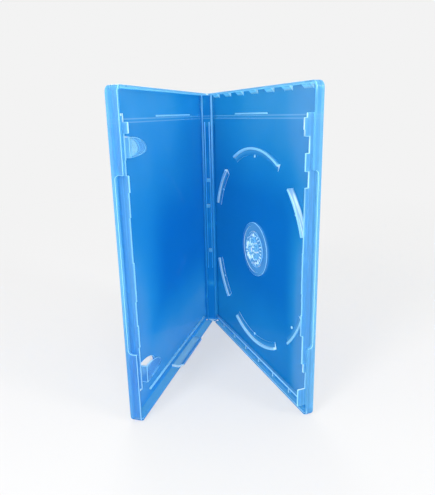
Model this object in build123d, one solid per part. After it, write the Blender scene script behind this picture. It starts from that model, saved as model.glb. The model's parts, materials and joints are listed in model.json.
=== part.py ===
from build123d import *
import os
from math import radians, tan

# A game disc case, standing half open on its lower edge. Millimetres.
# Each cover has its own axes: along (from the spine to the free edge), depth (inwards from the
# outer face) and up. The closed case is the box case_width by case_thickness by case_height.

# Closed case
case_height = 171.0
case_width = 134.5
case_thickness = 11.0
panel = 1.2
wall = 1.2
tray_rim = 4.4
meeting_gap = 0.2
corner_radius = 3.5
edge_radius = 0.8

# How far each cover stands open from the closed case, in degrees
front_opening = 8.0
tray_opening = 30.0

# Living hinges
web = 0.4
web_reach = 1.15
hinge_bevel = 0.8
web_end_gap = 0.6

# Clear film and the shallow pocket that it closes
film = 0.1
pocket_depth = 0.3
header_height = 15.0
ramp = 1.6
film_margin = 1.0
film_land = 1.4
pocket_mouth = 1.0

# Spine
spine_end_reach = 1.4
spine_end_inset = 0.8
spine_end_gap = 0.5
rail_place = 1.9
rail_wall = 0.6
rail_height = 0.8
rail_foot = 44.0
rail_top_gap = 4.0
lug_size = (2.6, 2.4)
lug_height = 1.1
lugs = ((0.1, 111.0), (-0.5, 92.0), (0.3, 58.0))

# Thumb notch in both free edges
notch_length = 91.0
notch_lip = 2.0
notch_radius = 2.0

# Tongue of the tray and groove wall of the front cover
tongue_gap = 0.4
tongue_wall = 1.0
groove_play = 0.8
groove_wall = 1.2
groove_foot = 17.9
foot_gap = 1.5
tip_gap = 0.4
end_step = 0.4

# Their stepped tops: the height where a step ends, and its drop below the deepest reach
tongue_low_steps = ((groove_foot - foot_gap, 0.1), (26.0, 4.5), (31.0, 2.9), (47.0, 2.1))
tongue_middle_steps = ((-27.0, 1.0), (-15.5, 1.3), (5.5, 1.0))
tongue_header_steps = (
    (-33.0, 1.2), (-25.5, 2.9), (-17.0, 1.0), (-9.5, 2.9), (-6.5, 0.3), (-1.0, 0.0), (1.0, 1.4),
)
groove_middle_steps = ((-43.0, 2.9), (-31.0, 2.5), (-18.0, 2.9), (2.5, 2.5), (25.0, 2.9))
groove_header_steps = (
    (-33.5, 2.5), (-25.4, 1.8), (-18.4, 3.2), (-6.3, 2.9), (-1.2, 0.5), (2.6, 2.9),
)

# Booklet clips of the front cover: leaf-shaped tabs on a short wall, over windows in the panel
high_clip_along = 124.0
high_clip_drop = 14.8
low_clip_along = 121.4
low_clip_up = 20.4
clip_length = 18.2
clip_root = 1.0
clip_over = 6.6
clip_under = 3.0
clip_thick = 1.1
clip_wall = 1.2
clip_rim_gap = 0.4
clip_window = 0.3

# Locking tab and booklet stop of the front cover
tab_along = (35.0, 77.0)
tab_gap = 0.3
tab_wall = 1.2
tab_rise = 2.2
tab_slope = 2.4
stop_along = (9.0, 112.0)
stop_up = 6.0
stop_wall = 1.0
stop_height = 0.9

# Short beads beside the pocket's mouth
front_bead = (25.0, 81.0)
tray_bead = (39.0, 82.0)
bead_up = 0.7
bead_wall = 0.8
bead_height = 0.35

# Disc seat of the tray
hub_along = 68.0
hub_up = 76.0
disc_radius = 60.0
disc_play = 0.5
fence_wall = 1.5
fence_lead = 0.4
toe_reach = 3.0
toe_height = 0.7
toe_edge = 0.2
low_fence = 1.5
middle_fence = 2.0
high_fence = 3.8
pip_radius = 0.9
pip_inset = 3.7
pip_height = 1.0
ring_radius = 16.8
ring_wall = 2.2
seat_height = 1.1
well_height = 0.7

# The fences round the disc: the angle of their middle, half their span and their height
fences = (
    (32.5, 12.5, high_fence),
    (89.5, 28.0, middle_fence),
    (147.0, 13.8, middle_fence),
    (214.0, 13.8, middle_fence),
    (270.5, 26.5, middle_fence),
    (324.5, 11.0, low_fence),
)

# Press hub: a rosette of spring fingers
disc_hole_radius = 7.5
pin_play = 0.15
finger_wall = 1.2
finger_count = 8
finger_slit = 0.9
finger_height = 2.0
snap_bead = 0.14
snap_height = 0.6
hub_flange_radius = 10.9
hub_gap = 0.3
cap_sink = 0.5
cap_thick = 0.9
cap_hole_radius = 1.6
cap_core_radius = 3.0
hub_travel = 0.9
hub_stop = 0.8

# Stiffening cells along the top and bottom of the tray
cell_pitch = 19.0
cell_long = 8.0
cell_depth = 2.2
cell_up = 2.2
top_cell_first = 5.5
bottom_rib_first = 19.0
rib_wall = 1.0
rib_lane = 1.9
inner_wall_up = 5.4
inner_wall_height = 2.4

# What follows from those sizes
front_rim = case_thickness - tray_rim - meeting_gap
hinge_depth = pocket_depth + web / 2
spine_half = case_thickness / 2 - hinge_depth - web_reach
cover_start = hinge_depth + web_reach
floor = panel + pocket_depth
wall_start = floor + spine_end_reach + spine_end_gap
header_line = case_height - header_height
film_top = header_line - pocket_mouth
pocket_edge = film_margin + film_land
reach = case_thickness - floor - tip_gap
tongue_inset = wall + tongue_gap
groove_inset = tongue_inset + tongue_wall + groove_play
groove_face = case_width - groove_inset - groove_wall
fence_inner = disc_radius + disc_play
pin_radius = disc_hole_radius - pin_play
seat_level = floor + seat_height
FRONT = 1
TRAY = -1


def slab(side, along, depth, up):
    """A block between pairs of along, depth and up values."""
    size = [b - a for a, b in (along, depth, up)]
    middle = [(a + b) / 2 for a, b in (along, depth, up)]
    return Pos(middle[0], side * middle[1], middle[2]) * Box(*size)


def prism(side, sketch, depth):
    """A sketch of along and up, run through the depth pair."""
    plane = Plane.XZ.offset(-side * depth[0])
    return extrude(plane * sketch, amount=depth[1] - depth[0], dir=(0, side, 0))


def run(side, corners, along):
    """A polygon of depth and up corners, run along a cover."""
    points = [(along[0], side * depth, up) for depth, up in corners]
    return extrude(make_face(Polyline(*points, close=True)), amount=along[1] - along[0], dir=(1, 0, 0))


def rise(side, corners, up):
    """A polygon of along and depth corners, run upwards."""
    points = [(along, side * depth, up[0]) for along, depth in corners]
    return extrude(make_face(Polyline(*points, close=True)), amount=up[1] - up[0], dir=(0, 0, 1))


def cover_outline(inset, start):
    """The sheet of a cover, with its two free corners rounded."""
    length = case_width - inset - start
    sheet = Pos(start + length / 2, case_height / 2) * Rectangle(length, case_height - 2 * inset)
    return fillet(sheet.vertices().sort_by(Axis.X)[-2:], corner_radius - inset)


def thumb_notch(side, inset):
    """The cut that lowers a free edge for the thumb."""
    depth = 2 * case_thickness
    outline = Pos(side * (notch_lip + depth / 2), case_height / 2)
    outline *= RectangleRounded(depth, notch_length, notch_radius)
    return extrude(Plane.YZ.offset(case_width - inset) * outline, amount=2 * inset)


def cover_shell(side, rim):
    """Panel, three outer walls, film pocket outside and raised floor inside."""
    body = prism(side, cover_outline(0, cover_start), (0, rim))
    outer_edges = body.edges().filter_by_position(Axis.Y, -0.01, 0.01).sort_by(Axis.X)[1:]
    body = fillet(outer_edges, edge_radius)
    body -= prism(side, cover_outline(wall, 0), (panel, 2 * rim))
    body -= slab(side, (0, wall_start), (panel, 2 * rim), (-wall, case_height + wall))
    raised = [(panel, wall), (floor, wall), (floor, header_line - ramp), (panel, header_line)]
    body += run(side, raised, (cover_start, case_width - wall))
    body -= slab(
        side,
        (0, case_width - pocket_edge),
        (-pocket_depth, pocket_depth),
        (pocket_edge, header_line),
    )
    bevel_top = pocket_depth + web
    bevel = [
        (cover_start, bevel_top),
        (cover_start + hinge_bevel, bevel_top + hinge_bevel),
        (cover_start, bevel_top + hinge_bevel),
    ]
    return body - rise(side, bevel, (-wall, case_height + wall))


def crest(side, foot, steps, along):
    """A wall whose top steps up and down: pairs of a height reached and its level up to there."""
    corners = [(panel, foot)]
    low = foot
    for top, level in steps:
        corners += [(level, low), (level, top)]
        low = top
    corners.append((panel, low))
    return run(side, corners, along)


def bead(side, along):
    up = header_line + bead_up
    return slab(side, along, (panel, panel + bead_height), (up, up + bead_wall))


def clip_leaf(root, grow):
    """A leaf that points from its root at the spine, fuller above its tip than below, grown all round."""
    shoulder = root - clip_root
    long = clip_length - clip_root + grow
    over = clip_over + grow
    under = clip_under + grow
    leaf = Pos(root - clip_root / 2, (over - under) / 2) * Rectangle(clip_root, over + under)
    for side, half in ((1, over), (-1, under)):
        quarter = Pos(shoulder - long / 2, side * half / 2) * Rectangle(long, half)
        leaf += Pos(shoulder, 0) * Ellipse(long, half) & quarter
    return leaf


def add_clip(body, root, up):
    """A booklet clip on its wall, with the window that the mould needs behind it."""
    level = front_rim - clip_rim_gap
    place = Pos(0, up)
    body -= prism(FRONT, place * clip_leaf(root, clip_window), (-panel, floor))
    body += prism(FRONT, place * clip_leaf(root, 0), (level - clip_thick, level))
    return body + slab(
        FRONT,
        (root, root + clip_wall),
        (panel, level),
        (up - clip_under, up + clip_over),
    )


def steps_from(start, steps):
    """Heights and levels of a stepped top, measured from a start height."""
    return [(start + up, reach - drop) for up, drop in steps]


def groove_steps():
    """The front cover's groove wall, from its foot to the header."""
    middle = steps_from(case_height / 2, groove_middle_steps)
    return middle + steps_from(header_line, groove_header_steps)


def tongue_steps():
    """The tray's tongue, from its foot to the header."""
    low = steps_from(0, tongue_low_steps)
    middle = steps_from(case_height / 2, tongue_middle_steps)
    return low + middle + steps_from(header_line, tongue_header_steps)


def make_front_cover():
    body = cover_shell(FRONT, front_rim)
    body -= thumb_notch(FRONT, wall)
    groove = (groove_face, groove_face + groove_wall)
    body += crest(FRONT, groove_foot, groove_steps(), groove)
    groove_top = groove_steps()[-1][0]
    for up in (groove_foot, groove_top - groove_wall):
        lane = (groove_face, case_width - wall)
        body += slab(FRONT, lane, (panel, front_rim - clip_rim_gap), (up, up + groove_wall))
    body = add_clip(body, high_clip_along, header_line - high_clip_drop)
    body = add_clip(body, low_clip_along, low_clip_up)
    tab_low = wall + tab_gap
    tab_top = front_rim + tab_rise
    start, end = tab_along
    outline = [
        (start, panel),
        (start, front_rim),
        (start + tab_slope, tab_top),
        (end - tab_slope, tab_top),
        (end, front_rim),
        (end, panel),
    ]
    body += rise(FRONT, outline, (tab_low, tab_low + tab_wall))
    body += slab(FRONT, tab_along, (panel, front_rim), (wall, tab_low))
    body += slab(FRONT, stop_along, (panel, floor + stop_height), (stop_up, stop_up + stop_wall))
    return body + bead(FRONT, front_bead)


def turned(profile, arc=360.0):
    """A profile of radius and depth, turned about the middle of the disc seat."""
    face = make_face(Polyline(*[(radius, 0, depth) for radius, depth in profile], close=True))
    return revolve(face, axis=Axis.Z, revolution_arc=arc)


def fence(middle, half_span, height):
    """An arc beside the disc's edge, with a sloped toe under the disc and a lead-in on its top."""
    top = floor + height
    profile = [
        (fence_inner - toe_reach, panel),
        (fence_inner - toe_reach, floor + toe_edge),
        (fence_inner, floor + toe_height),
        (fence_inner, top - fence_lead),
        (fence_inner + fence_lead, top),
        (fence_inner + fence_wall, top),
        (fence_inner + fence_wall, panel),
    ]
    return hub_place * Rot(0, 0, middle - half_span) * turned(profile, 2 * half_span)


def make_back_cover():
    body = cover_shell(TRAY, tray_rim)
    tongue = (case_width - tongue_inset - tongue_wall, case_width - tongue_inset)
    foot = inner_wall_up + rib_wall + end_step
    top = tongue_steps()[-1][0]
    body += slab(TRAY, (tongue[1], case_width - wall), (panel, tray_rim), (foot, top))
    body -= thumb_notch(TRAY, tongue_inset)
    body += crest(TRAY, foot, tongue_steps(), tongue)
    for middle, half_span, height in fences:
        body += fence(middle, half_span, height)
        spot = Pos(hub_along, hub_up) * Rot(0, 0, middle) * Pos(fence_inner - pip_inset, 0)
        body += prism(TRAY, spot * Circle(pip_radius), (panel, floor + pip_height))
    hub = Pos(hub_along, hub_up)
    ring = hub * (Circle(ring_radius) - Circle(ring_radius - ring_wall))
    body += prism(TRAY, ring, (panel, seat_level))
    body += prism(TRAY, hub * Circle(ring_radius), (panel, floor + well_height))
    body -= prism(TRAY, hub * Circle(hub_flange_radius + hub_gap), (-panel, seat_level))
    last = groove_face
    inner_wall = (inner_wall_up, inner_wall_up + rib_wall)
    inner_top = floor + inner_wall_height
    body += slab(TRAY, (wall_start, last), (panel, inner_top), inner_wall)
    place = bottom_rib_first
    while place < last:
        lane = (wall + rib_lane, inner_wall_up)
        body += slab(TRAY, (place, place + rib_wall), (panel, inner_top), lane)
        place += cell_pitch
    roof = case_height - wall
    place = top_cell_first
    while place + cell_long < last:
        corners = [(panel, roof), (panel, roof - cell_up), (panel + cell_depth, roof)]
        body += run(TRAY, corners, (place, place + cell_long))
        place += cell_pitch
    return body + bead(TRAY, tray_bead)


def make_disc_hub():
    """Spring fingers round a press cap, turned about Z with the tray's depth as height."""
    base = hub_travel + hub_stop
    straight = seat_level + finger_height
    crown = straight + snap_height
    cap_top = crown - cap_sink
    inner = pin_radius - finger_wall
    profile = [
        (cap_hole_radius, cap_top - cap_thick),
        (inner, cap_top - cap_thick),
        (inner, base),
        (hub_flange_radius, base),
        (hub_flange_radius, seat_level),
        (pin_radius, seat_level),
        (pin_radius, straight),
        (pin_radius + snap_bead, straight + snap_height / 3),
        (pin_radius - finger_wall / 2, crown),
        (inner, crown),
        (cap_core_radius, cap_top),
        (cap_hole_radius, cap_top),
    ]
    body = turned(profile)
    slit_inner = cap_core_radius
    slit_outer = pin_radius + snap_bead + finger_slit
    for index in range(finger_count):
        middle = (slit_inner + slit_outer) / 2
        slit = Pos(middle, 0, (seat_level + 2 * crown) / 2)
        slit *= Box(slit_outer - slit_inner, finger_slit, 2 * crown - seat_level)
        body -= Rot(0, 0, 360 * index / finger_count) * slit
    return hub_place * body


def make_spine():
    """The spine strip, with its film pocket outside and its rails, lugs and end walls inside."""
    edge = pocket_depth + web
    inner_half = spine_half - hinge_bevel

    def strip(outer, inner, up):
        corners = [(-spine_half, outer), (spine_half, outer), (spine_half, edge), (inner_half, inner)]
        corners += [(-inner_half, inner), (-spine_half, edge)]
        return rise(TRAY, corners, up)

    body = strip(0, panel, (header_line, case_height))
    body += strip(pocket_depth, floor, (pocket_edge, header_line))
    body += strip(0, floor, (0, pocket_edge))
    end_half = spine_half - spine_end_inset
    for up in (0, case_height - wall):
        end = slab(TRAY, (-end_half, end_half), (panel, floor + spine_end_reach), (up, up + wall))
        corners = end.edges().filter_by(Axis.Z).group_by(Axis.Y)[0]
        body += fillet(corners, spine_end_reach)
    rail_up = (rail_foot, header_line - rail_top_gap)
    for place in (-rail_place, rail_place - rail_wall):
        rail = (place, place + rail_wall)
        body += slab(TRAY, rail, (panel, floor + rail_height), rail_up)
    wide, tall = lug_size
    for across, up in lugs:
        lug_across = (across - wide / 2, across + wide / 2)
        lug_up = (up - tall / 2, up + tall / 2)
        body += slab(TRAY, lug_across, (panel, floor + lug_height), lug_up)
    return body


def make_bend(side, opening, depth, up):
    """A strip that turns from the spine into a cover, between two depths."""
    fold = 90.0 - opening
    middle = web_reach / tan(radians(fold / 2))
    centre = (side * spine_half, -hinge_depth - middle)
    outer = CenterArc(centre, middle + hinge_depth - depth[0], 90.0, -side * fold)
    inner = CenterArc(centre, middle + hinge_depth - depth[1], 90.0, -side * fold)
    face = make_face([outer, inner, Line(outer @ 0, inner @ 0), Line(outer @ 1, inner @ 1)])
    return Pos(0, 0, up[0]) * extrude(face, amount=up[1] - up[0], dir=(0, 0, 1))


def make_cover_film(side):
    along = (cover_start, case_width - film_margin)
    return slab(side, along, (-film, 0), (film_margin, film_top))


# The middle of the disc seat, on the tray's outer face, with the depth as its height
hub_place = Plane(origin=(hub_along, 0, hub_up), x_dir=(1, 0, 0), z_dir=(0, TRAY, 0))

# The tray stands in the frame's YZ plane: along is -Y, depth is -X. The origin lies on its foot,
# under the middle of the disc seat. The spine turns about the tray's hinge, the front about its own.
tray_place = Rot(0, 0, -90) * Pos(-hub_along, tray_rim / 2, 0)
tray_axis = (tray_rim / 2 - hinge_depth, hub_along - hinge_depth)
spine_axis = case_thickness / 2 - hinge_depth
spine_place = Pos(*tray_axis, 0) * Rot(0, 0, -tray_opening) * Pos(-spine_axis, hinge_depth, 0)
front_turn = Rot(0, 0, -90 - front_opening) * Pos(-hinge_depth, -hinge_depth, 0)
front_place = spine_place * Pos(-spine_axis, -hinge_depth, 0) * front_turn

web_up = (web_end_gap, case_height - web_end_gap)
web_depth = (pocket_depth, pocket_depth + web)
film_up = (film_margin, film_top)
film_depth = (-film, 0)

nodes = {
    "front_cover": front_place * make_front_cover(),
    "spine": spine_place * make_spine(),
    "back_cover": tray_place * make_back_cover(),
    "front_hinge_web": spine_place * make_bend(-1, front_opening, web_depth, web_up),
    "back_hinge_web": spine_place * make_bend(1, tray_opening, web_depth, web_up),
    "disc_hub": tray_place * make_disc_hub(),
    "sleeve_front": front_place * make_cover_film(FRONT),
    "sleeve_front_bend": spine_place * make_bend(-1, front_opening, film_depth, film_up),
    "sleeve_spine": spine_place * slab(TRAY, (-spine_half, spine_half), film_depth, film_up),
    "sleeve_back_bend": spine_place * make_bend(1, tray_opening, film_depth, film_up),
    "sleeve_back": tray_place * make_cover_film(TRAY),
}

os.makedirs("parts", exist_ok=True)
for name, solid in nodes.items():
    export_step(solid, os.path.join("parts", name + ".step"))

front_axis = (spine_place * Pos(-spine_axis, -hinge_depth, 0)).position
print("back hinge axis", tray_axis)
print("front hinge axis", front_axis.X, front_axis.Y)
print("hub pin", tray_rim / 2 - seat_level - finger_height / 2, hub_up, pin_radius)
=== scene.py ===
# %% [markdown]
# # A slim disc case in clear blue plastic
#
# The real case is one thin moulding: two covers, a spine and the soft creases between them, with
# a clear film welded round the outside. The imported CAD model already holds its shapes, so this
# lesson gives them soft edges, a plastic that light goes into, creases that bend and a film.

# %% Load the frame
import json
import math
from types import SimpleNamespace

import bmesh
import bpy
from mathutils import Matrix, Vector
from mathutils.geometry import intersect_point_line


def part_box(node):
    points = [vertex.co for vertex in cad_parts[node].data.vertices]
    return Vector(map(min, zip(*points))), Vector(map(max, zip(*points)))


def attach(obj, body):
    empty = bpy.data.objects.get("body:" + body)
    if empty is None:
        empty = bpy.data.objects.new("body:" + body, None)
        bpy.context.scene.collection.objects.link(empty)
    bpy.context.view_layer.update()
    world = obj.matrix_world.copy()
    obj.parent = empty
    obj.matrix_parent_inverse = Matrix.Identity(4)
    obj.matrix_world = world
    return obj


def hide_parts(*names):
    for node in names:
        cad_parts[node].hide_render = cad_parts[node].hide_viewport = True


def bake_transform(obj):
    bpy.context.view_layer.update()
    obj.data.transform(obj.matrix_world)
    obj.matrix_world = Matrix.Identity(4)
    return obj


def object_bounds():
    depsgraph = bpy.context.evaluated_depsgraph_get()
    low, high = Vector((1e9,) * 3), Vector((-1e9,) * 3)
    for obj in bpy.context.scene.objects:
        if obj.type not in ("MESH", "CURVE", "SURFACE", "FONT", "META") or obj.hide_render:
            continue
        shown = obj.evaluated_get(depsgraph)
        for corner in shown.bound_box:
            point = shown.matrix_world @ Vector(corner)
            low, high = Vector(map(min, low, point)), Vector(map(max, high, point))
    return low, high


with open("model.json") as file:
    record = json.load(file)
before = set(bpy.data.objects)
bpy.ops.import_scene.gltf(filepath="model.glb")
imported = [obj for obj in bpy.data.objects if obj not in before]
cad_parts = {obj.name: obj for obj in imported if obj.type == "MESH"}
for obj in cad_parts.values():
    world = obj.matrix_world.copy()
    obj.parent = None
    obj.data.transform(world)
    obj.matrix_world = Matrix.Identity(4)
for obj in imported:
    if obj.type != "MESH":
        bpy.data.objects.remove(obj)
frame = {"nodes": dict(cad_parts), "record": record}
cad_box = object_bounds()

# %% [markdown]
# ## Each cover's own axes
#
# Everything on a cover is easiest to place by three measures: along it from the spine, in from its
# outer face, and up. The row frame only fits the tray that way, and the other two pieces stand
# turned beside it. One matrix for each turns such measures into the frame, and its inverse
# turns them back. The hinges and their closed limits in the record give all three.

# %% Axes of the tray, the spine and the front
millimetre = 0.001
hinge_depth = 0.5 * millimetre
joints = {joint["name"]: joint for joint in frame["record"]["behaviour"]["joints"]}
back_axis = Vector(joints["back_hinge"]["pos_m"])
front_axis = Vector(joints["front_hinge"]["pos_m"])
tray_opening = -joints["back_hinge"]["range_deg"][0]
front_opening = -joints["front_hinge"]["range_deg"][0]


def cover_axes(corner, turn, depth_side):
    """The matrix from along, depth and up to the frame, for a cover turned about Z."""
    along = Matrix.Rotation(math.radians(turn), 3, "Z") @ Vector((1, 0, 0))
    depth = depth_side * Vector((0, 0, 1)).cross(along)
    axes = Matrix((along, depth, Vector((0, 0, 1)))).transposed().to_4x4()
    return Matrix.Translation(corner - hinge_depth * (along + depth)) @ axes


tray_axes = cover_axes(back_axis, -90, -1)
front_axes = cover_axes(front_axis, -90 - tray_opening - front_opening, 1)
spine_middle = (back_axis + front_axis) / 2
spine_axes = cover_axes(spine_middle, -tray_opening, -1)
spine_axes = spine_axes @ Matrix.Translation((hinge_depth, 0, 0))
print("case opening:", front_opening + tray_opening, "degrees")

# %% [markdown]
# ## Camera
#
# The photograph was taken from a little in front of the case, at the height of its header, tipped
# down and rolled a degree. A camera can be placed by eye, but then no line quite meets its place.
# These numbers come from lining up the case's straight edges with the picture. The small shift
# stands for a picture that was cropped slightly off its middle.

# %% Camera
camera_place = (-0.12575, -0.25472, 0.15748)
camera_turn = (74.556, 1.377, -21.436)
camera_lens = 34.574
camera_shift = (0.0097, -0.005)
camera = bpy.data.objects.new("camera", bpy.data.cameras.new("camera"))
camera.data.lens = camera_lens
camera.data.shift_x, camera.data.shift_y = camera_shift
camera.location = camera_place
camera.rotation_euler = [math.radians(angle) for angle in camera_turn]
bpy.context.scene.collection.objects.link(camera)
bpy.context.scene.camera = camera
bpy.context.scene.view_settings.view_transform = "Standard"
print("camera at", [round(value, 3) for value in camera.location])

# %% [markdown]
# ## Shader maths in Python
#
# A material is a graph of nodes, and a graph of thirty nodes is hard to read as thirty calls.
# This class wraps one socket. Sums and products of sockets add Math nodes by themselves, and one
# method adds any other node from its type, its settings and its inputs.


# %% A wire in a shader
class Wire:
    """One output socket of a shader tree."""

    def __init__(self, tree, socket=None):
        self.tree = tree
        self.socket = socket

    def add(self, kind, settings=None, inputs=None, output=0):
        node = self.tree.nodes.new(kind)
        for name, value in (settings or {}).items():
            if name == "stops":
                self.set_stops(node.color_ramp, value)
            else:
                setattr(node, name, value)
        for name, value in (inputs or {}).items():
            if isinstance(value, Wire):
                self.tree.links.new(value.socket, node.inputs[name])
            else:
                node.inputs[name].default_value = value
        return Wire(self.tree, node.outputs[output] if node.outputs else None)

    @staticmethod
    def set_stops(ramp, stops):
        while len(ramp.elements) < len(stops):
            ramp.elements.new(0.5)
        ramp.interpolation = "B_SPLINE"
        for element, (place, colour) in zip(ramp.elements, stops):
            element.position = place
            element.color = colour

    def output(self, name):
        return Wire(self.tree, self.socket.node.outputs[name])

    def maths(self, operation, *values):
        return self.add("ShaderNodeMath", {"operation": operation}, dict(enumerate(values)))

    def __add__(self, other):
        return self.maths("ADD", self, other)

    __radd__ = __add__

    def __sub__(self, other):
        return self.maths("SUBTRACT", self, other)

    def __rsub__(self, other):
        return self.maths("SUBTRACT", other, self)

    def __mul__(self, other):
        return self.maths("MULTIPLY", self, other)

    __rmul__ = __mul__

    def most(self, other):
        """The larger of this wire and another."""
        return self.maths("MAXIMUM", self, other)

    def smooth(self, low, high):
        """0 below low, 1 above high, and a smooth rise between them."""
        inputs = {"Value": self, "From Min": low, "From Max": high}
        return self.add("ShaderNodeMapRange", {"interpolation_type": "SMOOTHSTEP"}, inputs)

    def between(self, low, high, soft=0.3):
        """1 from low to high, and 0 outside, with soft ends."""
        return self.smooth(low - soft, low + soft) * (1 - self.smooth(high - soft, high + soft))

    def mix(self, first, second):
        """A colour between two, by this wire."""
        inputs = {0: self, 6: first, 7: second}
        return self.add("ShaderNodeMix", {"data_type": "RGBA"}, inputs, output=2)

    def mix_shaders(self, share, first, second):
        """A shader between two, by a number or a wire."""
        return self.add("ShaderNodeMixShader", inputs={"Fac": share, 1: first, 2: second})

    def cover_surface(self):
        """Makes this shader the surface of its material."""
        self.add("ShaderNodeOutputMaterial", inputs={"Surface": self})


def new_material(name):
    """An empty material, and a wire to start its nodes from."""
    material = bpy.data.materials.new(name)
    material.use_nodes = True
    material.node_tree.nodes.clear()
    return material, Wire(material.node_tree)


print("a wire adds nodes for + - * and for most, smooth, between, mix and mix_shaders")

# %% [markdown]
# ## Studio
#
# A pale floor that keeps the shadow, and a pale room all round it. A photographer would hang a
# curved sheet of paper behind the case. Here the floor is flat. Close to the case it is partly an
# ordinary matt surface and partly glows in the room's colour, a painted light that lightens its
# shadow, and further out it turns wholly into the plain colour of the room, so there is no horizon
# to hide. The room shows that colour to the eye, to reflections and to light that comes through the
# plastic, but lights the case more gently.

# %% Floor
room_grey = (0.896, 0.896, 0.896, 1)
floor_grey = (0.62, 0.62, 0.62, 1)
floor_half = 4.0
floor_fade = (0.1, 0.7)
near_share = 0.6
floor_mesh = bpy.data.meshes.new("floor")
corners = [(-floor_half, -floor_half, 0), (floor_half, -floor_half, 0)]
corners += [(floor_half, floor_half, 0), (-floor_half, floor_half, 0)]
floor_mesh.from_pydata(corners, [], [(0, 1, 2, 3)])
floor = bpy.data.objects.new("floor", floor_mesh)
bpy.context.scene.collection.objects.link(floor)

floor_paint, wire = new_material("pale floor")
place = wire.add("ShaderNodeTexCoord", output="Object")
distance = wire.add("ShaderNodeVectorMath", {"operation": "LENGTH"}, {0: place}, output="Value")
matt = wire.add("ShaderNodeBsdfDiffuse", inputs={"Color": floor_grey})
far = wire.add("ShaderNodeEmission", inputs={"Color": room_grey, "Strength": 1.0})
# near the case the floor partly glows, which paints light into its shadow
far_share = distance.smooth(*floor_fade) * (1 - near_share) + near_share
wire.mix_shaders(far_share, matt, far).cover_surface()
floor_mesh.materials.append(floor_paint)
print("floor:", 2 * floor_half, "metres wide")

# %% Room
room_light = 0.92
world = bpy.data.worlds.new("room")
world.use_nodes = True
world.node_tree.nodes.clear()
bpy.context.scene.world = world
wire = Wire(world.node_tree)
rays = wire.add("ShaderNodeLightPath", output="Is Camera Ray")
seen = rays.most(rays.output("Is Glossy Ray")).most(rays.output("Is Transmission Ray"))
glow = wire.add(
    "ShaderNodeBackground",
    inputs={"Color": room_grey, "Strength": seen * (1 - room_light) + room_light},
)
wire.add("ShaderNodeOutputWorld", inputs={"Surface": glow})
print("room light:", room_light)

# %% [markdown]
# ## Lamps
#
# Two large soft panels, one high on the left and one on the right, give the plastic something
# bright to mirror. A third shines in between the covers from the front, and a fourth comes through
# them from behind, which is what makes clear plastic look alive. Small lamps would be simpler, but
# they leave hard spots on a glossy face.

# %% Lamps
lamps = {
    "left panel": ((-0.55, -0.35, 0.52), 0.2, 3.5),
    "right panel": ((0.45, -0.65, 0.55), 0.2, 3.0),
    "front panel": ((-0.2, -0.65, 0.3), 0.3, 3.0),
    "back panel": ((0.1, 0.75, 0.55), 0.4, 2.5),
}
lamp_aim = Vector((-0.03, 0.02, 0.08))
for name, (spot, size, power) in lamps.items():
    lamp = bpy.data.objects.new(name, bpy.data.lights.new(name, "AREA"))
    lamp.data.size = size
    lamp.data.energy = power
    lamp.location = spot
    lamp.rotation_euler = (lamp_aim - lamp.location).to_track_quat("-Z", "Y").to_euler()
    bpy.context.scene.collection.objects.link(lamp)
print(len(lamps), "lamps")

# %% [markdown]
# ## Measures that a shader can read
#
# The blue of this plastic depends on where it is: on a panel, a wall, the hub or the foot. An image
# could be painted for each piece, or the pieces cut up into many materials. Here every piece
# carries its along, depth and up measures in an attribute, in millimetres, so a few lines of
# shader maths can find any form of the case, however its mesh is cut.

# %% Measures of a point
mounts = {mount["name"]: mount for mount in frame["record"]["mounts"]}
hub_place = tray_axes.inverted() @ Vector(mounts["disc_pin"]["pos_m"]) / millimetre
hub_middle = (hub_place.x, 0, hub_place.z)


def read_measures(wire):
    """The along, depth and up of a point, in millimetres, together and one by one."""
    whole = wire.add("ShaderNodeAttribute", {"attribute_name": "measures"}, output="Vector")
    along = wire.add("ShaderNodeSeparateXYZ", inputs={"Vector": whole}, output="X")
    return SimpleNamespace(whole=whole, along=along, depth=along.output("Y"), up=along.output("Z"))


def hub_distance(at):
    """How far a point is from the hub's middle, whatever its depth."""
    flat = at.whole.add("ShaderNodeCombineXYZ", inputs={"X": at.along, "Z": at.up})
    ends = {0: flat, 1: hub_middle}
    return flat.add("ShaderNodeVectorMath", {"operation": "DISTANCE"}, ends, output="Value")


def noise(place, grains, detail, roughness=0.5, stretch=None):
    """A soft random pattern with so many grains to the metre. A small stretch draws it out."""
    if stretch:
        place = place.add("ShaderNodeVectorMath", {"operation": "MULTIPLY"}, {0: place, 1: stretch})
    inputs = {"Vector": place, "Scale": grains * millimetre, "Detail": detail, "Roughness": roughness}
    return place.add("ShaderNodeTexNoise", inputs=inputs)


print("hub at", [round(value, 1) for value in hub_middle], "mm")

# %% [markdown]
# ## Blues of the panels
#
# Clear blue polypropylene is deep in the middle of a panel and paler where more light reaches it:
# towards the header, the free edge and the foot. A volume shader could work that out from the
# light, but it is slow and grainy in a wall this thin. So this light is painted into the colour: one
# number says how much painted light a point gets, and a ramp of four blues turns it into a colour.
# The spine lies in a fold, so it gets painted shade, which is a little blotchy.

# %% Panels
panel_stops = (0.0, 0.3, 0.42, 0.7)
header_gain = 0.21
inner_part = (0, 85)
outer_turn = (60, 140)
painted_foot_light = (22, 70)
spine_fold = (2, 6)
painted_spine_shade = 0.3
blotch_grains = 110
blotch_levels = (0.45, 0.7)
blotch_gain = 0.55
flow_gain = 0.2
flow_level = 0.14


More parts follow.
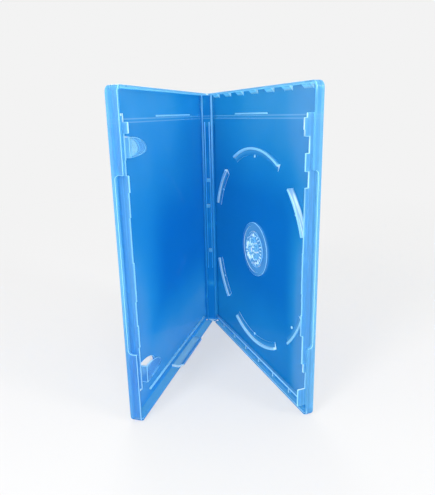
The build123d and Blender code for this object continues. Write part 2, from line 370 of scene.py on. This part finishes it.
def panel_blue_with_painted_light(at, flow, look):
    """The colour of a panel, with painted light and painted shade in its blue."""
    # painted light: paler towards the header, the free edge and the foot
    header = at.up.smooth(*look.rise) * (at.along.smooth(*inner_part) + 1) * header_gain
    fade = at.up.smooth(*outer_turn) * (look.outer_top - look.outer_low) + look.outer_low
    foot = (1 - at.up.smooth(*painted_foot_light)) * look.foot_share
    painted_lightness = header + foot.most(at.along.smooth(*look.outer) * fade)
    # painted shade in the fold by the spine, lifted in random blotches
    blotches = noise(at.whole, blotch_grains, 2).smooth(*blotch_levels)
    fold = 1 - at.along.smooth(*spine_fold)
    painted_lightness = painted_lightness - fold * (painted_spine_shade - blotches * blotch_gain)
    painted_lightness = painted_lightness + flow * flow_gain - flow_level
    stops = list(zip(panel_stops, look.blues))
    return painted_lightness.add("ShaderNodeValToRGB", {"stops": stops}, {"Fac": painted_lightness})


print("panel blues at", panel_stops)

# %% [markdown]
# ## Walls and small forms
#
# Thin walls and ribs are lit from both sides, so they get painted light, a paler blue than any
# panel, with fine upright painted streaks of refracted light. The hub, the clips, the two lines
# under the header, the cells along the top, the foot and the one disc fence that faces the light
# each look different again; the ring round the hub, the header lines, the cells and the fence get
# painted highlights. Each could be a mesh with its own material, but the real case is one moulding
# with no seam. So a mask finds each form by its measures: 1 on the form, 0 elsewhere and soft
# between.

# %% Walls and the hub
wall_depth = (1.6, 2.6)
wall_rise = (20, 75)
rim_along = (130.5, 132)
rim_share = 0.85
hub_face = (9.5, 10.5)
hub_ring = (11.2, 16.8)
hub_moat = (11.2, 17.5)
speck_grains = 1300
speck_levels = (0.5, 0.58)
speck_share = 0.4


def find_walls(at, to_hub, look):
    """Walls and ribs for their painted light, the specks on the hub's face and the ring round it."""
    wall = at.depth.smooth(*wall_depth).most(at.along.smooth(*rim_along) * rim_share)
    # the painted light on walls is weaker lower down
    wall = wall * (at.up.smooth(*wall_rise) * (1 - look.wall_low) + look.wall_low)
    specks = noise(at.whole, speck_grains, 0).smooth(*speck_levels)
    specks = specks * (1 - to_hub.smooth(*hub_face))
    wall = wall * (1 - specks * speck_share)
    # the ring round the hub gets a painted highlight
    ring = to_hub.between(*hub_ring) * look.ring_share
    return (wall * (1 - to_hub.between(*hub_moat))).most(ring)


print("walls from a depth of", wall_depth[0], "mm, hub ring", hub_ring, "mm")

# %% Clips, header lines, cells and the fence
clip_heights = ((136, 155), (13, 30))
clip_along = (100, 123.4)
header_lines = ((154.2, 154.6), (155.8, 156.2))
header_depth = (0.9, 1.1)
cell_heights = (167, 169.3)
cell_depth = (1.3, 1.8)
fence_ring = (59, 65)
fence_up = (85, 92)
fence_along = (110, 116)


def find_clips(at):
    """The two booklet clips, with whatever lies under them."""
    high, low = (at.up.between(*heights) for heights in clip_heights)
    return (high + low) * at.along.between(*clip_along)


def find_header_lines(at):
    """The two fine lines under the header."""
    lower, upper = (at.up.between(*heights) for heights in header_lines)
    return (lower + upper) * at.depth.smooth(*header_depth)


def find_cells(at):
    """The small cells along the top."""
    rim = at.along.smooth(*rim_along)
    return at.up.between(*cell_heights) * at.depth.smooth(*cell_depth) * (1 - rim)


def find_fence(at, to_hub):
    """The disc fence near the free edge, above the middle."""
    fence = to_hub.between(*fence_ring) * at.up.smooth(*fence_up)
    return fence * at.along.smooth(*fence_along)


print("clips at heights", clip_heights, "mm, cells at", cell_heights, "mm")

# %% All forms of a cover
foot_up = (1.6, 3)
strip_along = (122, 124)
spine_along = (6, 8)
streak_grains = 600
streak_levels = (0.4, 0.6)
no_streak = 0.5
upright = (1, 1, 0.015)


def find_streaks(at):
    """Upright painted refraction streaks on the edge strips and spine, an even middle value elsewhere.
    """
    strips = at.along.smooth(*strip_along) + 1 - at.along.smooth(*spine_along)
    streaks = noise(at.whole, streak_grains, 1, stretch=upright).smooth(*streak_levels)
    return (streaks - no_streak) * strips + no_streak


def find_forms(at, look):
    """All masks of a cover by name."""
    to_hub = hub_distance(at)
    wall = find_walls(at, to_hub, look)
    return SimpleNamespace(
        wall=wall,
        clips=find_clips(at) * wall,
        lines=find_header_lines(at),
        cells=find_cells(at),
        fence=find_fence(at, to_hub) * wall * look.fence_share,
        foot=1 - at.up.smooth(*foot_up),
        streaks=find_streaks(at),
    )


print("streaks drawn out", round(1 / upright[2]), "times")

# %% Colour of the plastic
deep_wall = (0.24, 0.66, 0.98, 1)
pale_wall = (0.5, 0.86, 1.0, 1)
painted_highlight_blue = (0.82, 0.97, 1.0, 1)
foot_blue = (0.07, 0.47, 1.0, 1)
foot_strength = 0.85
line_wall = 0.8
line_highlight = 0.45
fence_highlight = 0.75


def plastic_colour(panel, forms):
    """The panel's blue, then the walls, the painted highlights of the pale forms and the foot over it.
    """
    wall_colour = forms.streaks.mix(deep_wall, pale_wall)
    colour = forms.wall.most(forms.lines * line_wall).mix(panel, wall_colour)
    # painted highlights on the cells, the fence and the header lines
    pale = forms.cells.most(forms.fence * fence_highlight).most(forms.lines * line_highlight)
    colour = pale.mix(colour, painted_highlight_blue)
    return (forms.foot * foot_strength).mix(colour, foot_blue)


print("wall blues from", deep_wall[:3], "to", pale_wall[:3])

# %% [markdown]
# ## Blue plastic
#
# The plastic is glossy, scatters light inside and lets some through. A glass shader would be too
# clear, and plain paint looks dead. So three finishes are mixed: a see-through plastic with a thin
# glossy coat, the glow of light from behind, which is deep behind a panel and pale behind a wall,
# and a painted white highlight in fine lines on the fence. The coat fades towards the foot, where it
# would mirror nothing but the floor. The surface is slightly uneven from the mould, which a soft
# bump shows in its reflections.

# %% Gloss, glow and the painted highlight
wall_glow = (0.37, 0.76, 0.99, 1)
fence_highlight_white = (0.84, 0.92, 1.0, 1)
least_rough = 0.05
peel_rough = 0.05
coat_rise = (45, 95)
least_coat = 0.03
coat_gain = 0.3
lengthwise = (0.08, 1, 0.08)
highlight_grains = 900
highlight_levels = (0.42, 0.58)
least_highlight = 0.2
highlight_gain = 0.5


def see_through(at, colour, peel, bump):
    """Clear plastic under a coat that is thinnest at the foot."""
    return colour.add(
        "ShaderNodeBsdfPrincipled",
        inputs={
            "Base Color": colour,
            "Roughness": peel * peel_rough + least_rough,
            "IOR": 1.06,
            "Transmission Weight": 0.8,
            "Coat Weight": at.up.smooth(*coat_rise) * coat_gain + least_coat,
            "Coat Roughness": 0.02,
            "Normal": bump,
        },
    )


def light_through(forms, panel_glow, bump):
    """Light from behind: deep through a panel, pale through a wall or a cell."""
    deep = bump.add("ShaderNodeBsdfTranslucent", inputs={"Color": panel_glow, "Normal": bump})
    pale = bump.add("ShaderNodeBsdfTranslucent", inputs={"Color": wall_glow, "Normal": bump})
    pale_share = forms.wall.most(forms.cells) * (1 - forms.foot * foot_strength)
    return bump.mix_shaders(pale_share, deep, pale)


def paint_fence_highlight(body, at, forms, bump):
    """A painted white highlight in fine lines along the fence, over the plastic."""
    highlight_shader = bump.add("ShaderNodeBsdfDiffuse", inputs={"Color": fence_highlight_white, "Normal": bump})
    lines = noise(at.whole, highlight_grains, 1, stretch=lengthwise).smooth(*highlight_levels)
    share = forms.fence * (lines * highlight_gain + least_highlight)
    return bump.mix_shaders(share, body, highlight_shader)


print("coat grows between", coat_rise, "mm")

# %% Blue plastic
mould_depth = 0.25 * millimetre
flow_grains = 22
peel_grains = 420
peel_share = 0.1
milk = SimpleNamespace(base=0.2, wall=0.3, cells=0.2, foot=0.2, clips=0.45, streaks=0.3)


def how_milky(forms):
    """How much of the plastic is glow: walls, cells and foot have more, clips less."""
    milky = forms.wall * milk.wall + forms.cells * milk.cells + forms.foot * milk.foot
    milky = milky - forms.clips * milk.clips + milk.base
    return milky + (forms.streaks - no_streak) * forms.wall * milk.streaks


def make_blue_plastic(name, look):
    material, wire = new_material(name)
    at = read_measures(wire)
    forms = find_forms(at, look)
    flow = noise(at.whole, flow_grains, 3, roughness=0.55)
    peel = noise(at.whole, peel_grains, 2)
    uneven = flow * (1 - peel_share) + peel * peel_share
    bump = wire.add(
        "ShaderNodeBump",
        inputs={"Height": uneven, "Strength": 0.15, "Distance": mould_depth},
    )
    colour = plastic_colour(panel_blue_with_painted_light(at, flow, look), forms)
    plastic = see_through(at, colour, peel, bump)
    through = light_through(forms, look.blues[1], bump)
    body = wire.mix_shaders(how_milky(forms), plastic, through)
    paint_fence_highlight(body, at, forms, bump).cover_surface()
    return material


print("share of glow on a plain panel:", milk.base)

# %% [markdown]
# ## Two looks of one plastic
#
# The covers are the same plastic, but the light falls on them from different sides, so each gets
# its own painted light and shade, and only the tray has a hub and fences. A look holds four blues,
# from the deepest to the palest, the heights over which painted light makes the header paler, the
# stretch along the cover over which it makes the free edge paler, and how strongly each of these
# places shows.

# %% Front and tray
front_look = SimpleNamespace(
    blues=((0.004, 0.19, 0.68, 1), (0.02, 0.39, 0.81, 1), (0.11, 0.435, 0.83, 1), (0.24, 0.53, 0.88, 1)),
    rise=(75, 150),
    outer=(65, 125),
    outer_low=0.52,
    outer_top=0.0,
    foot_share=0.42,
    wall_low=0.4,
    ring_share=0.0,
    fence_share=0.0,
)
tray_look = SimpleNamespace(
    blues=((0.004, 0.18, 0.6, 1), (0.02, 0.37, 0.74, 1), (0.1, 0.41, 0.75, 1), (0.24, 0.5, 0.82, 1)),
    rise=(98, 152),
    outer=(98, 124),
    outer_low=0.6,
    outer_top=0.16,
    foot_share=0.24,
    wall_low=0.9,
    ring_share=0.4,
    fence_share=1.0,
)
front_plastic = make_blue_plastic("front plastic", front_look)
tray_plastic = make_blue_plastic("tray plastic", tray_look)
print("materials:", front_plastic.name, "and", tray_plastic.name)

# %% [markdown]
# ## Edges
#
# Light that gets into a clear sheet runs along inside it and comes out at its edges, so the edges
# are the brightest lines of the case. No mask of measures can follow them all, so they get a paler
# plastic of their own, a painted highlight, which the Bevel below puts on the narrow faces it
# makes. Less light gets down into the fold beside the spine, so there it turns to a deeper blue of
# painted shade. The folds of the hub and the small ends of ribs catch the most light, and get the
# palest plastic, the strongest painted highlight.

# %% Bright edges
# the paler blue of the edges is a painted highlight, the fold's deeper blue painted shade
edge_blue = (0.45, 0.82, 1.0, 1)
fold_shade_blue = (0.025, 0.29, 0.64, 1)
edge_glow = 0.5
glow_loss = 0.45
fold_heights = (90, 175)
fold_along = (6, 12)
fold_lift = 0.6


def beside_spine(at):
    """Painted shade for how far light has to get into the fold beside the spine: 1 at its foot."""
    low = 1 - at.up.smooth(*fold_heights) * fold_lift
    return low * (1 - at.along.smooth(*fold_along))


def make_edge_plastic(name, blue, painted_shade_blue=None):
    material, wire = new_material(name)
    colour = blue
    share = edge_glow
    if painted_shade_blue:
        fold = beside_spine(read_measures(wire))
        # beside the spine the edge's painted highlight turns to painted shade
        colour = fold.mix(blue, painted_shade_blue)
        share = edge_glow - fold * glow_loss
    gloss = wire.add(
        "ShaderNodeBsdfPrincipled",
        inputs={"Base Color": colour, "Roughness": 0.15, "IOR": 1.49},
    )
    through = wire.add("ShaderNodeBsdfTranslucent", inputs={"Color": blue})
    wire.mix_shaders(share, gloss, through).cover_surface()
    return material


edge_plastic = make_edge_plastic("bright edge", edge_blue, fold_shade_blue)
fold_plastic = make_edge_plastic("bright fold", painted_highlight_blue)
print("materials:", edge_plastic.name, "and", fold_plastic.name)

# %% [markdown]
# ## Clear film
#
# The film is thinner than paper and nearly invisible head on. It shows by its gloss, which
# grows towards the edge of sight. A glass shader between two faces this close together mirrors
# and darkens too much, so a clear shader and a glossy one are mixed by Fresnel instead.

# %% Clear film
film_tint = (0.97, 0.98, 1.0, 1)
film_shine = (1, 1, 1, 1)
slack_depth = 0.6 * millimetre
slack_grains = 14


def make_clear_film():
    material, wire = new_material("clear film")
    slack = noise(read_measures(wire).whole, slack_grains, 2)
    bump = wire.add(
        "ShaderNodeBump",
        inputs={"Height": slack, "Strength": 0.3, "Distance": slack_depth},
    )
    fresnel = wire.add("ShaderNodeFresnel", inputs={"IOR": 1.45, "Normal": bump})
    inside = wire.add("ShaderNodeNewGeometry", output="Backfacing")
    clear = wire.add("ShaderNodeBsdfTransparent", inputs={"Color": film_tint})
    shine = wire.add(
        "ShaderNodeBsdfGlossy",
        inputs={"Color": film_shine, "Roughness": 0.04, "Normal": bump},
    )
    wire.mix_shaders(fresnel * (1 - inside), clear, shine).cover_surface()
    return material


clear_film = make_clear_film()
print("material:", clear_film.name)

# %% [markdown]
# ## Moulded pieces
#
# A mould never leaves a sharp edge, and it's the thin bright line along each edge that makes the
# walls and steps readable. The CAD solids have sharp edges. A Subdivision Surface would melt such
# flat forms, so each solid is copied, its loose triangles are joined, flat areas become single
# faces, and a narrow Bevel rounds the edges that stand out and gives its faces the paler edge
# plastic, a painted highlight. Narrow faces get a painted highlight too. An edge is rounded only
# where the next edge leaves room for it, so small steps stay whole. Weighted Normal keeps the large
# faces flat in reflections. Edges on the outside of the case keep the plain plastic, without a
# painted highlight, because against the pale room a bright line would not show.

# %% Pieces and their measures


def new_piece(name, mesh, *materials):
    for material in materials:
        mesh.materials.append(material)
    piece = bpy.data.objects.new(name, mesh)
    bpy.context.scene.collection.objects.link(piece)
    return piece


def settle(piece):
    """Turns a piece and its modifiers into a plain mesh."""
    graph = bpy.context.evaluated_depsgraph_get()
    mesh = bpy.data.meshes.new_from_object(piece.evaluated_get(graph), depsgraph=graph)
    piece.modifiers.clear()
    piece.data = mesh
    mesh.name = piece.name
    return piece


def write_measures(piece, axes):
    """Keeps each point's along, depth and up with the mesh, in millimetres."""
    back = axes.inverted()
    kept = piece.data.attributes.new("measures", "FLOAT_VECTOR", "POINT")
    for point, value in zip(piece.data.vertices, kept.data):
        value.vector = back @ point.co / millimetre


print("measures are written in units of", millimetre, "m")

# %% Room for a bevel
edge_softness = 0.22 * millimetre
bevel_angle = math.radians(30)
straight_on = -0.85
room_share = 0.4
no_limit = 1.0


def gap_to(point, edge):
    """How far a point lies beside an edge, or a long way if it lies beyond its ends."""
    start, end = (corner.co for corner in edge.verts)
    foot, share = intersect_point_line(point.co, start, end)
    return (point.co - foot).length if 0 <= share <= 1 else no_limit


def edge_room(edge):
    """The width an edge can be rounded by before it meets another one in its faces."""
    gap = no_limit
    for loop in edge.link_loops:
        for beside in (loop.link_loop_prev.edge, loop.link_loop_next.edge):
            shared = next(point for point in beside.verts if point in edge.verts)
            way = (edge.other_vert(shared).co - shared.co).normalized()
            turn = (beside.other_vert(shared).co - shared.co).normalized()
            if way.dot(turn) > straight_on:
                gap = min(gap, beside.calc_length())
        for other in loop.face.edges:
            if not set(other.verts) & set(edge.verts):
                gap = min(gap, *(gap_to(point, edge) for point in other.verts))
                gap = min(gap, *(gap_to(point, other) for point in edge.verts))
    return gap * room_share


def weigh_edges(form):
    """Marks edges that stand out and have room for a bevel, and keeps all other corners sharp."""
    weights = form.edges.layers.float.new("bevel_weight_edge")
    for edge in form.edges:
        angle = edge.calc_face_angle_signed(0)
        rounded = angle > bevel_angle and edge_room(edge) > edge_softness
        edge[weights] = float(rounded)
        edge.smooth = rounded or abs(angle) < bevel_angle


print("edges rounded by", round(edge_softness / millimetre, 2), "mm")

# %% Bright strips and soft edges
plain_slot, edge_slot, fold_slot = range(3)
strip_width = 1.15 * millimetre
long_share = 0.5
sparkle_area = 8 * millimetre**2
outside = 0.5 * millimetre
case_top = cad_box[1].z


def brighten_strips(form):
    """Painted highlights in bright plastic on narrow faces: low beads, small ends of ribs and steps."""
    for face in form.faces:
        longest = max(edge.calc_length() for edge in face.edges)
        sides = [edge for edge in face.edges if edge.calc_length() > longest * long_share]
        alone = all(abs(edge.calc_face_angle(0)) > bevel_angle for edge in sides)
        if alone and face.calc_area() * 2 < strip_width * face.calc_perimeter():
            face.material_index = fold_slot if face.calc_area() < sparkle_area else edge_slot


def soften(piece):
    bevel = piece.modifiers.new("soft edges", "BEVEL")
    bevel.width = edge_softness
    bevel.segments = 2
    bevel.limit_method = "WEIGHT"
    # the bevel's faces get the paler edge plastic, a painted highlight
    bevel.material = edge_slot
    bevel.use_clamp_overlap = False
    even = piece.modifiers.new("even shading", "WEIGHTED_NORMAL")
    even.keep_sharp = True
    return settle(piece)


def dull_outside(piece, axes):
    """Takes the painted highlight off edges on the outside of the case."""
    back = axes.inverted()
    for face in piece.data.polygons:
        _, depth, up = back @ face.center
        if depth < outside or not outside < up < case_top - outside:
            face.material_index = plain_slot


print("bright strips up to", round(strip_width / millimetre, 2), "mm wide")

# %% A moulded copy of a CAD node
merge_distance = 1e-6
flat_angle = math.radians(0.4)


def joined_form(source):
    """A CAD mesh with its loose triangles joined and its flat areas made single faces."""
    form = bmesh.new()
    for point in source.vertices:
        form.verts.new(point.co)
    form.verts.ensure_lookup_table()
    for face in source.polygons:
        form.faces.new([form.verts[index] for index in face.vertices])
    bmesh.ops.remove_doubles(form, verts=form.verts, dist=merge_distance)
    bmesh.ops.dissolve_limit(form, angle_limit=flat_angle, verts=form.verts, edges=form.edges)
    for face in form.faces:
        face.smooth = True
    return form


def moulded_copy(node, name, axes, plastic):
    form = joined_form(frame["nodes"][node].data)
    weigh_edges(form)
    brighten_strips(form)
    mesh = bpy.data.meshes.new(name)
    form.to_mesh(mesh)
    form.free()
    piece = soften(new_piece(name, mesh, plastic, edge_plastic, fold_plastic))
    dull_outside(piece, axes)
    write_measures(piece, axes)
    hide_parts(node)
    return piece


print("flat areas: within", round(math.degrees(flat_angle), 2), "degrees")

# %% Covers, spine and hub
moulded = {
    "front_cover": ("front_shell", front_axes, front_plastic),
    "back_cover": ("tray_shell", tray_axes, tray_plastic),
    "spine": ("spine_shell", spine_axes, tray_plastic),
    "disc_hub": ("press_hub", tray_axes, tray_plastic),
}
for node, (name, axes, plastic) in moulded.items():
    piece = moulded_copy(node, name, axes, plastic)
    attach(piece, node)
    print(name, len(piece.data.polygons), "faces")

# %% [markdown]
# ## Folds of the hub
#
# The hub that holds the disc is cut into springy fingers with folds at their roots, which sparkle
# in the light; here the sparkle is painted, as the palest plastic. They could be modelled one by
# one, but they all have one shape and stand round a circle, which is work for Geometry Nodes:
# circles of points, a small rounded ridge on each, turned outwards with a little sway from a fixed
# seed. The class above wraps these sockets just as well.

# %% Sizes of the folds
hub_up = mounts["disc_pin"]["pos_m"][2]
fold_sizes = {
    "Ridge radius": 0.5 * millimetre,
    "Root count": 26,
    "Root radius": 8.9 * millimetre,
    "Root ridge": (2.9, 0.8, 1.2),
    "Crown count": 13,
    "Crown radius": 4.6 * millimetre,
    "Crown ridge": (3.2, 0.9, 1.0),
}
ring_heights = {"Root": -0.4 * millimetre, "Crown": -3.0 * millimetre}
most_sway = 0.8
least_growth, most_growth = 0.6, 1.2
print("folds:", fold_sizes["Root count"] + fold_sizes["Crown count"])

# %% A ring of folds
ridge_segments = 10
ridge_rings = 6
seed_step = 7


def random_value(wire, low, high, seed):
    return wire.add("FunctionNodeRandomValue", inputs={2: low, 3: high, "Seed": seed}, output=1)


def ring_of_folds(sizes, name, seed):
    ring = sizes.add(
        "GeometryNodeMeshCircle",
        inputs={"Vertices": sizes.output(name + " count"), "Radius": sizes.output(name + " radius")},
    )
    ridge = sizes.add(
        "GeometryNodeMeshUVSphere",
        inputs={
            "Segments": ridge_segments,
            "Rings": ridge_rings,
            "Radius": sizes.output("Ridge radius"),
        },
    )
    place = sizes.add("GeometryNodeInputPosition")
    across = sizes.add("ShaderNodeSeparateXYZ", inputs={"Vector": place})
    sway = random_value(sizes, -most_sway, most_sway, seed)
    growth = random_value(sizes, least_growth, most_growth, seed + seed_step)
    angle = across.maths("ARCTAN2", across.output("Y"), across) + sway
    turn = sizes.add("FunctionNodeAxisAngleToRotation", inputs={"Axis": (0, 0, 1), "Angle": angle})
    grown = {0: sizes.output(name + " ridge"), "Scale": growth}
    scale = sizes.add("ShaderNodeVectorMath", {"operation": "SCALE"}, grown)
    folds = sizes.add(
        "GeometryNodeInstanceOnPoints",
        inputs={"Points": ring, "Instance": ridge, "Rotation": turn, "Scale": scale},
    )
    seat = (ring_heights[name], 0, hub_up)
    return sizes.add(
        "GeometryNodeTransform",
        inputs={"Geometry": folds, "Translation": seat, "Rotation": (0, -math.pi / 2, 0)},
    )


print("a ridge has", ridge_segments, "segments and", ridge_rings, "rings")

# %% A tree that places folds
socket_kinds = {int: "NodeSocketInt", float: "NodeSocketFloat", tuple: "NodeSocketVector"}


def make_fold_tree():
    tree = bpy.data.node_groups.new("hub folds", "GeometryNodeTree")
    for name, value in fold_sizes.items():
        tree.interface.new_socket(name, in_out="INPUT", socket_type=socket_kinds[type(value)])
    tree.interface.new_socket("Geometry", in_out="OUTPUT", socket_type="NodeSocketGeometry")
    sizes = Wire(tree).add("NodeGroupInput")
    join = sizes.add("GeometryNodeJoinGeometry")
    for seed, name in enumerate(ring_heights):
        ring = ring_of_folds(sizes, name, seed)
        tree.links.new(ring.socket, join.socket.node.inputs[0])
    real = join.add("GeometryNodeRealizeInstances", inputs={"Geometry": join})
    rounded = real.add("GeometryNodeSetShadeSmooth", inputs={"Geometry": real})
    dressed = {"Geometry": rounded, "Material": fold_plastic}
    plastic = rounded.add("GeometryNodeSetMaterial", inputs=dressed)
    plastic.add("NodeGroupOutput", inputs={"Geometry": plastic})
    return tree


fold_tree = make_fold_tree()
print("fold tree:", len(fold_tree.nodes), "nodes")

# %% Folds
folds = new_piece("hub_folds", bpy.data.meshes.new("hub_folds"), fold_plastic)
nodes = folds.modifiers.new("folds", "NODES")
nodes.node_group = fold_tree
for socket in fold_tree.interface.items_tree:
    if socket.in_out == "INPUT":
        nodes[socket.identifier] = fold_sizes[socket.name]
settle(folds)
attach(folds, "disc_hub")
print("hub folds:", len(folds.data.polygons), "faces")

# %% [markdown]
# ## Bent strips
#
# The creases are thin strips of the same plastic, and the film runs round both of them. On
# the real case they bend many thousand times. A strip that only turned with one cover would tear
# off the other, so each is a row of cross sections through the bend, every section turned a little
# more than the one before it.

# %% Sides of the case
web_reach = 1.15 * millimetre
spine_half = (back_axis - front_axis).length / 2 - web_reach
bend_steps = 16
sides = {
    "front": SimpleNamespace(axes=front_axes, way=-1, opening=front_opening, cover="front_cover"),
    "back": SimpleNamespace(axes=tray_axes, way=1, opening=tray_opening, cover="back_cover"),
}


def bend_section(side, depth):
    """Plan points round one crease at a depth, from the spine to the cover."""
    fold = math.radians(90 - side.opening)
    radius = web_reach / math.tan(fold / 2)
    points = []
    for step in range(bend_steps + 1):
        turn = fold * step / bend_steps
        across = side.way * (spine_half + (radius + hinge_depth - depth) * math.sin(turn))
        inwards = hinge_depth + radius - (radius + hinge_depth - depth) * math.cos(turn)
        points.append(spine_axes @ Vector((across, inwards, 0)))
    return points


print("spine between the bends:", round(2 * spine_half / millimetre, 2), "mm")

# %% A bent strip


def strip(name, outer, inner, low, high, rows, material):
    """A closed sheet between two rows of plan points, from one height to another."""
    heights = [low + (high - low) * row / rows for row in range(rows + 1)]
    loop = outer + inner[::-1]
    count = len(loop)
    form = bmesh.new()
    rings = [[form.verts.new((*point.xy, height)) for point in loop] for height in heights]
    for below, above in zip(rings, rings[1:]):
        for index in range(count):
            after = (index + 1) % count
            form.faces.new((below[index], below[after], above[after], above[index]))
    last = count - 1
    for ring in (rings[0], rings[-1]):
        for index in range(len(outer) - 1):
            form.faces.new((ring[index], ring[index + 1], ring[last - index - 1], ring[last - index]))
    bmesh.ops.recalc_face_normals(form, faces=form.faces)
    mesh = bpy.data.meshes.new(name)
    form.to_mesh(mesh)
    form.free()
    mesh.shade_smooth()
    mesh.set_sharp_from_angle(angle=bevel_angle)
    return new_piece(name, mesh, material)


print("a bend has", bend_steps, "steps")

# %% Living hinges
web_thick = 0.4 * millimetre
pocket_depth = 0.3 * millimetre
web_rows = 24
web_low, web_high = (corner.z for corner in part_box("front_hinge_web"))
for name, side in sides.items():
    outer = bend_section(side, pocket_depth)
    inner = bend_section(side, pocket_depth + web_thick)
    crease = strip(name + "_crease", outer, inner, web_low, web_high, web_rows, tray_plastic)
    write_measures(crease, spine_axes)
    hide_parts(name + "_hinge_web")
    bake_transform(crease)
    print(crease.name, len(crease.data.polygons), "faces")

# %% [markdown]
# ## Film
#
# One sheet goes from free edge to free edge. It could be a single piece, but only one hinge can
# bend a piece, so the sheet is made as two, which meet on the middle of the spine, where nothing
# bends.

# %% Film halves
film_thick = 0.1 * millimetre
film_low, film_high = (corner.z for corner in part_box("sleeve_spine"))
cover_start = hinge_depth + web_reach
film_end = 133.5 * millimetre
film_rows = 16
flat_steps = 12
film_nodes = {
    "front": ("sleeve_front", "sleeve_front_bend"),
    "back": ("sleeve_back", "sleeve_back_bend", "sleeve_spine"),
}


def film_line(side, depth):
    """Plan points of the film at a depth, from the spine's middle to the free edge."""
    points = [spine_axes @ Vector((0, depth, 0))]
    points += bend_section(side, depth)
    for step in range(1, flat_steps + 1):
        along = cover_start + (film_end - cover_start) * step / flat_steps
        points.append(side.axes @ Vector((along, depth, 0)))
    return points


for name, side in sides.items():
    outer = film_line(side, -film_thick)
    inner = film_line(side, 0)
    film = strip(name + "_film", outer, inner, film_low, film_high, film_rows, clear_film)
    write_measures(film, side.axes)
    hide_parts(*film_nodes[name])
    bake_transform(film)
    print(film.name, len(film.data.polygons), "faces")
